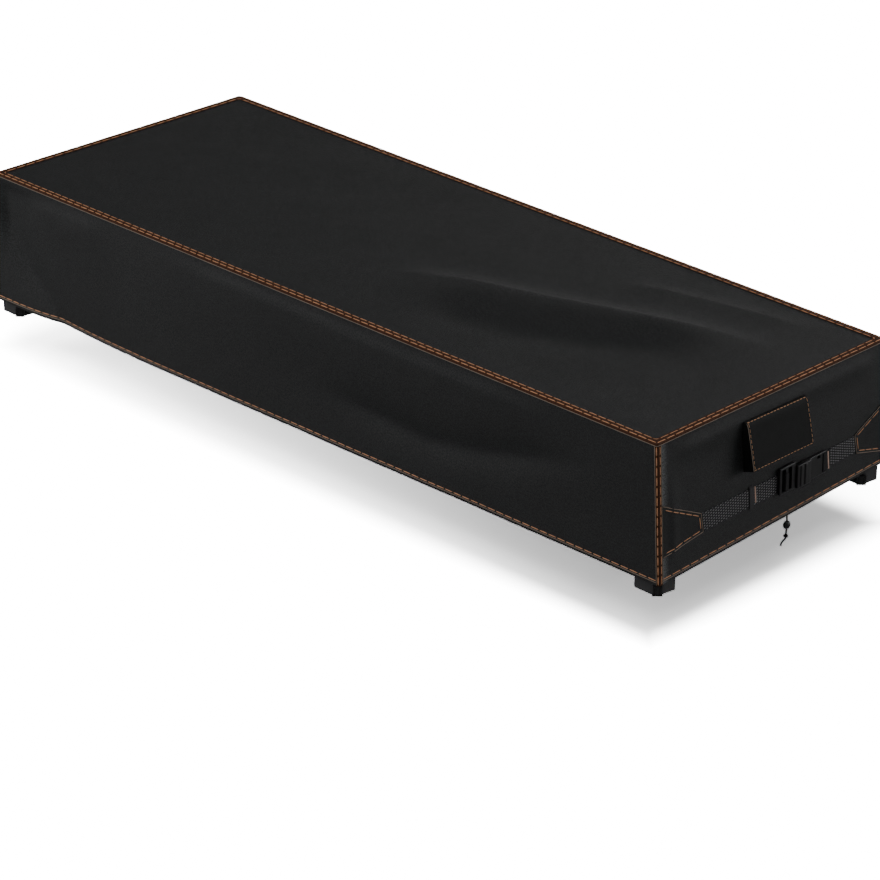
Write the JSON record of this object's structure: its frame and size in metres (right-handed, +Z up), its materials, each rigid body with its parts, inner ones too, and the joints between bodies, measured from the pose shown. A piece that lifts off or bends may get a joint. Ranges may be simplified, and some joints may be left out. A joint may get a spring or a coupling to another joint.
{
  "type": "lounge chair cover",
  "caption": "Fitted rectangular outdoor cover for a flat lounge chair: sewn top, sides and ends, a vent hood, a buckled webbing strap, leg straps and a hem drawcord.",
  "frame": {"origin": "middle of the top panel's underside, where the lounge inside holds the cover up", "axes": "+X along the cover towards the vented and buckled end, +Y across it away from the long side in view, +Z up"},
  "size_m": [2.1356, 0.8067, 0.3986],
  "materials": {
    "cloth": "coated plain-woven polyester, black, low sheen",
    "patch": "coated woven polyester, black, of the hood and the corner patches",
    "tape": "seam tape, black, with tan stitches",
    "webbing": "woven webbing, black",
    "plastic": "moulded plastic, black, satin",
    "cord": "braided cord, black"
  },
  "bodies": {
    "root": {"top_panel": "cloth", "side_panel_front": "cloth", "side_panel_back": "cloth", "end_panel_vented": "cloth", "end_panel_far": "cloth", "top_edge_tape": "tape", "corner_tape_near_front": "tape", "corner_tape_near_back": "tape", "corner_tape_far_back": "tape", "corner_tape_far_front": "tape", "vent_hood": "patch", "corner_patch_left": "patch", "corner_patch_right": "patch", "webbing_left": "webbing", "webbing_right": "webbing", "webbing_keeper": "webbing", "buckle_plug": "plastic", "buckle_socket": "plastic", "leg_strap_near_front": "webbing", "leg_strap_near_front_clip": "plastic", "leg_strap_near_back": "webbing", "leg_strap_near_back_clip": "plastic", "leg_strap_far_back": "webbing", "leg_strap_far_back_clip": "plastic", "leg_strap_far_front": "webbing", "leg_strap_far_front_clip": "plastic", "drawcord": "cord", "cord_lock": "plastic", "cord_knot": "cord"}
  },
  "joints": []
}
